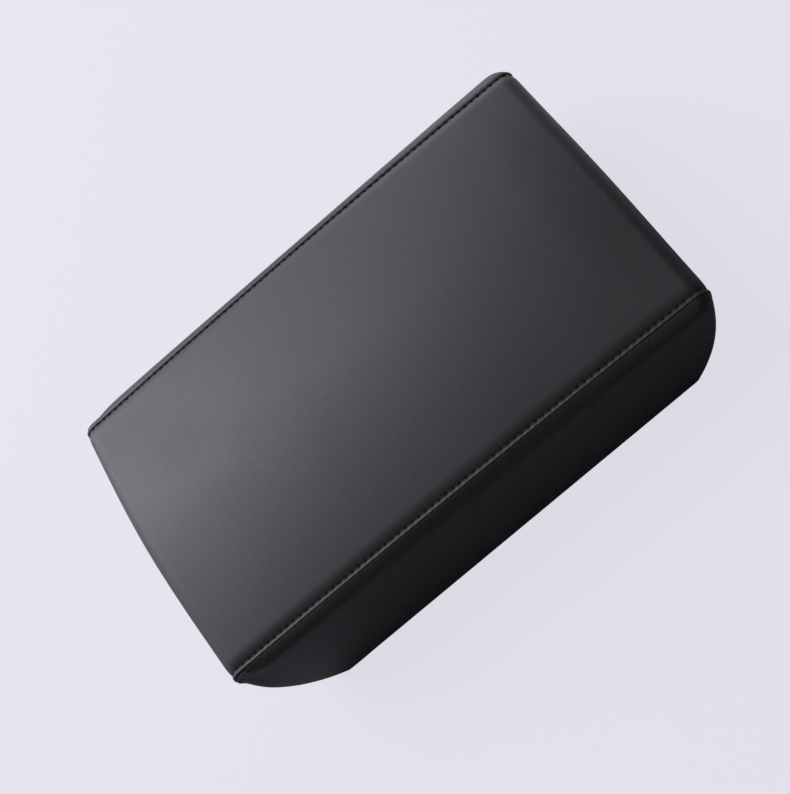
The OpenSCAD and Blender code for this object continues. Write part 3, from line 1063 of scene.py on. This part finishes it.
def stitch_row(name, stitch, count):
    """A straight row of stitches along X from 0, made as one stitch and repeated at the pitch."""
    length = stitch.pitch * STITCH_SHOWN
    middle = stitch.pitch / 2
    bpy.ops.object.select_all(action="DESELECT")
    bpy.ops.mesh.primitive_cylinder_add(
        vertices=8, radius=stitch.thread / 2, depth=length, rotation=(0, pi / 2, 0),
        location=(middle, 0, 0))
    piece = bpy.context.object
    piece.name = name
    piece.data.name = name
    bpy.ops.object.transform_apply(location=True, rotation=True)
    bpy.ops.object.mode_set(mode="EDIT")
    for share in (-0.42, -0.3, -0.12, 0.12, 0.3, 0.42):
        bpy.ops.mesh.select_all(action="SELECT")
        bpy.ops.mesh.bisect(plane_co=(middle + share * length, 0, 0), plane_no=(1, 0, 0))
    bpy.ops.object.mode_set(mode="OBJECT")
    x, y, z = flat_points(piece).T
    turns = np.arctan2(z, y) / (2 * pi)
    share = (x - middle) / (length / 2)
    bend = np.abs(share) ** 4
    thinner = 1 - STITCH_TAPER * bend
    dive = stitch.thread * STITCH_DIVE * bend
    bent = np.stack([x, y * thinner + STITCH_SLANT * share, z * thinner - dive], -1)
    lay(piece, bent, np.stack([x / MM, turns], -1))
    apply_modifier(piece, "ARRAY", count=count, use_relative_offset=False, use_constant_offset=True,
                   constant_offset_displace=(stitch.pitch, 0, 0))
    return piece


class ARMREST_OT_topstitch(bpy.types.Operator):
    """Sews the row of stitches along each seam"""
    bl_idname = "armrest.topstitch"
    bl_label = "Topstitching"

    def execute(self, context):
        size, stitch, line = cover_of(context)
        first, count = needle_holes(line, stitch)
        for name, sign in SIDES.items():
            piece = stitch_row(f"topstitch_{name}", stitch, count)
            x, y, z = flat_points(piece).T
            run = first + x
            point, normal, zone = line.at(run)
            row = stitch_line(stitch, run)
            seat = padding(size, point[:, 0], zone, row) - THREAD_SEAT
            moved = point + normal * (seat + stitch.thread * THREAD_LIFT + z)[:, None]
            lay(piece, in_space(moved, sign * (size.half_width - row + y)))
            if sign < 0:
                piece.data.flip_normals()
            finished(piece, "black_thread")
        return {"FINISHED"}


class ARMREST_OT_hem_stitch(bpy.types.Operator):
    """Sews the turned-in edge down, with a row of stitches round the inside of the hem"""
    bl_idname = "armrest.hem_stitch"
    bl_label = "Hem Stitching"

    def execute(self, context):
        size, stitch, line = cover_of(context)
        height = size.turned_edge - HEM_ROW
        end_lean = abs(line.foot_normal[1] / line.foot_normal[0])
        end_x = line.inner_foot_x + height * line.foot_normal[1] / line.foot_normal[0]
        side_y = size.half_width - size.leather
        pieces = []
        for corner, turn, length in (
                ((-end_x, side_y), (1, 0), 2 * end_x), ((end_x, -side_y), (-1, 0), 2 * end_x),
                ((end_x, side_y), (0, -1), 2 * side_y), ((-end_x, -side_y), (0, 1), 2 * side_y)):
            count = int((length - 2 * HEM_ROW_MARGIN) / stitch.pitch)
            row = stitch_row(f"hem_row_{len(pieces)}", stitch, count)
            x, y, z = flat_points(row).T
            run = x + (length - count * stitch.pitch) / 2
            along = np.array(turn, float)
            inward = np.array([along[1], -along[0]])
            lean = end_lean if turn[0] == 0 else 0
            rise = z + stitch.thread * HEM_THREAD_LIFT
            place = np.array(corner) + run[:, None] * along + inward * (rise - y * lean)[:, None]
            lay(row, np.column_stack([place, height + y + rise * lean * HEM_ROW_TILT]))
            turn_faces_out(row)
            pieces.append(row)
        piece = joined(pieces)
        piece.name = "hem_stitch"
        finished(piece, "black_thread")
        return {"FINISHED"}


# The camera as fitted to the photograph: what it looks at, from how far, its angles and its lens
VIEW_POINT = Vector((-5.55, -3.7, 34)) * MM
VIEW_DISTANCE = 740 * MM
VIEW_TURN = radians(19.445)
VIEW_DOWN = radians(62.344)
VIEW_ROLL = radians(58.172)
LENS = 64.155
SENSOR_WIDTH = 36

# Each lamp's name, degrees round from +X and up from level, width and height, and power
LAMPS = (
    ("far_band", 75, 6, (1.2, 0.3), 7),
    ("side_box", 97, 26, (1.2, 1.2), 4.5),
    ("key_box", 130, 28, (1.2, 1.2), 20),
    ("low_box", 155, 10, (1.2, 1.2), 8.5),
    ("high_box", 132, 55, (1.2, 1.2), 25),
)
LAMP_COLOUR = (0.98, 0.975, 1.02)
# What the lamps face, and from how far
LIT_POINT = Vector((0, 0, 50)) * MM
LAMP_DISTANCE = 1.6

FLOOR_RADIUS = 6
# The floor's share of its colour under the lamps, and the strength of its own glow
FLOOR_MATT = 0.4
FLOOR_GLOW = 1.13
# Share of the glow in what the camera sees, the rest being the matt floor with its shadow
FLOOR_SEEN = 0.82
# How the glow grows in the leather's gloss, from Y = 0 to this place. Towards -Y the floor is dark in
# gloss, a painted shade in the right side panel's reflections.
FLOOR_GLOSS_PLACE = 0.12
FLOOR_GLOSS = (0.05, 1)
# Strength of the world's light, and its share of the floor's colour in gloss
WORLD_LIGHT = 0.02
WORLD_GLOSS = 0.1
# Share of the pale colour that is seen through glass
SEEN_THROUGH = 0.1


def soft_light(name, turn, rise, size, power):
    """A large soft light that faces the cover, turn and rise being degrees from +X and from level."""
    data = bpy.data.lights.new(name, "AREA")
    data.shape = "RECTANGLE"
    data.size, data.size_y = size
    data.energy = power
    data.color = LAMP_COLOUR
    lamp = bpy.data.objects.new(name, data)
    bpy.context.scene.collection.objects.link(lamp)
    turn, rise = radians(turn), radians(rise)
    level = LAMP_DISTANCE * cos(rise)
    away = Vector((level * cos(turn), level * sin(turn), LAMP_DISTANCE * sin(rise)))
    lamp.location = LIT_POINT + away
    lamp.rotation_euler = (-away).to_track_quat("-Z", "Y").to_euler()
    lamp.visible_camera = False


def ray_kinds(start):
    """Whether a ray comes from the camera, off a gloss or through glass."""
    camera = start.node("ShaderNodeLightPath", result="Is Camera Ray")
    return camera, camera.other("Is Glossy Ray"), camera.other("Is Transmission Ray")


class ARMREST_OT_stage(bpy.types.Operator):
    """Sets the pale floor, the soft lights and the camera"""
    bl_idname = "armrest.stage"
    bl_label = "Stage"

    def execute(self, context):
        colours = context.scene.cover_colours
        bpy.ops.object.select_all(action="DESELECT")
        bpy.ops.mesh.primitive_circle_add(vertices=96, radius=FLOOR_RADIUS, fill_type="NGON")
        floor = context.object
        floor.name = "floor"
        self.floor_material(colours)
        floor.data.materials.append(bpy.data.materials["pale_floor"])
        self.world(colours)
        for lamp in LAMPS:
            soft_light(*lamp)
        self.camera(context)
        context.scene.view_settings.view_transform = "Standard"
        return {"FINISHED"}

    def floor_material(self, colours):
        """A pale floor that keeps a faint shadow where it is seen, and that gloss sees dark on its -Y
        half, a painted shade.
        """
        start = new_material("pale_floor")
        dark, light = scaled(colours.floor, FLOOR_MATT), colours.floor
        matt = start.node("ShaderNodeBsdfDiffuse", None, {"Color": (*dark, 1)})
        glow = start.node("ShaderNodeEmission", None, {"Color": (*light, 1), "Strength": FLOOR_GLOW})
        camera, glossy, through = ray_kinds(start)
        place = start.node("ShaderNodeTexCoord", result="Object")
        across = start.node("ShaderNodeSeparateXYZ", None, {0: place}, "Y")
        # Gloss sees the glow only faintly over the floor's -Y half, a painted shade on the right side
        # panel.
        gloss_glow_shaded_near = across.spread(0, FLOOR_GLOSS_PLACE, *FLOOR_GLOSS)
        pale = camera * FLOOR_SEEN + glossy * gloss_glow_shaded_near + through * SEEN_THROUGH
        mix = start.node("ShaderNodeMixShader", None, {0: pale, 1: matt, 2: glow})
        start.node("ShaderNodeOutputMaterial", None, {"Surface": mix})

    def world(self, colours):
        """Dim even light, and the floor's colour where the world itself is seen."""
        world = bpy.data.worlds.new("studio")
        bpy.context.scene.world = world
        world.use_nodes = True
        world.node_tree.nodes.clear()
        start = Socket(world.node_tree)
        dim = start.node("ShaderNodeBackground", None, {"Color": (1, 1, 1, 1), "Strength": WORLD_LIGHT})
        pale = start.node("ShaderNodeBackground", None, {"Color": (*colours.floor, 1), "Strength": 1})
        camera, glossy, through = ray_kinds(start)
        seen = camera + glossy * WORLD_GLOSS + through * SEEN_THROUGH
        mix = start.node("ShaderNodeMixShader", None, {0: seen, 1: dim, 2: pale})
        start.node("ShaderNodeOutputWorld", None, {"Surface": mix})

    def camera(self, context):
        data = bpy.data.cameras.new("camera")
        data.lens = LENS
        data.sensor_width = SENSOR_WIDTH
        data.sensor_fit = "HORIZONTAL"
        camera = bpy.data.objects.new("camera", data)
        context.scene.collection.objects.link(camera)
        right = Vector((cos(VIEW_TURN), sin(VIEW_TURN), 0))
        level = cos(VIEW_DOWN)
        forward = Vector((-sin(VIEW_TURN) * level, cos(VIEW_TURN) * level, -sin(VIEW_DOWN)))
        up = right.cross(forward)
        across = right * cos(VIEW_ROLL) - up * sin(VIEW_ROLL)
        upward = right * sin(VIEW_ROLL) + up * cos(VIEW_ROLL)
        turn = Matrix((across, upward, -forward)).transposed().to_4x4()
        camera.matrix_world = Matrix.Translation(VIEW_POINT - forward * VIEW_DISTANCE) @ turn
        context.scene.camera = camera


STEPS = (
    ARMREST_OT_materials, ARMREST_OT_top_panel, ARMREST_OT_side_panels, ARMREST_OT_foam,
    ARMREST_OT_lining, ARMREST_OT_topstitch, ARMREST_OT_hem_stitch, ARMREST_OT_stage,
)


class ARMREST_PT_panel(bpy.types.Panel):
    """Lists the cover's steps, sizes and colours"""
    bl_idname = "ARMREST_PT_panel"
    bl_label = "Armrest Cover"
    bl_space_type = "VIEW_3D"
    bl_region_type = "UI"
    bl_category = "Armrest Cover"

    def draw(self, context):
        scene = context.scene
        column = self.layout.column()
        for step in STEPS:
            column.operator(step.bl_idname)
        for group in (scene.cover_sizes, scene.stitch_sizes, scene.cover_colours):
            for name in group.bl_rna.properties.keys():
                if name not in ("rna_type", "name"):
                    column.prop(group, name)


CLASSES = (CoverSizes, StitchSizes, CoverColours, *STEPS, ARMREST_PT_panel)


def register():
    for cls in CLASSES:
        bpy.utils.register_class(cls)
    bpy.types.Scene.cover_sizes = bpy.props.PointerProperty(type=CoverSizes)
    bpy.types.Scene.stitch_sizes = bpy.props.PointerProperty(type=StitchSizes)
    bpy.types.Scene.cover_colours = bpy.props.PointerProperty(type=CoverColours)


def unregister():
    del bpy.types.Scene.cover_colours
    del bpy.types.Scene.stitch_sizes
    del bpy.types.Scene.cover_sizes
    for cls in reversed(CLASSES):
        bpy.utils.unregister_class(cls)


def main():
    register()
    bpy.ops.armrest.materials()
    bpy.ops.armrest.top_panel()
    bpy.ops.armrest.side_panels()
    bpy.ops.armrest.foam()
    bpy.ops.armrest.lining()
    bpy.ops.armrest.topstitch()
    bpy.ops.armrest.hem_stitch()
    bpy.ops.armrest.stage()


if __name__ == "__main__":
    main()
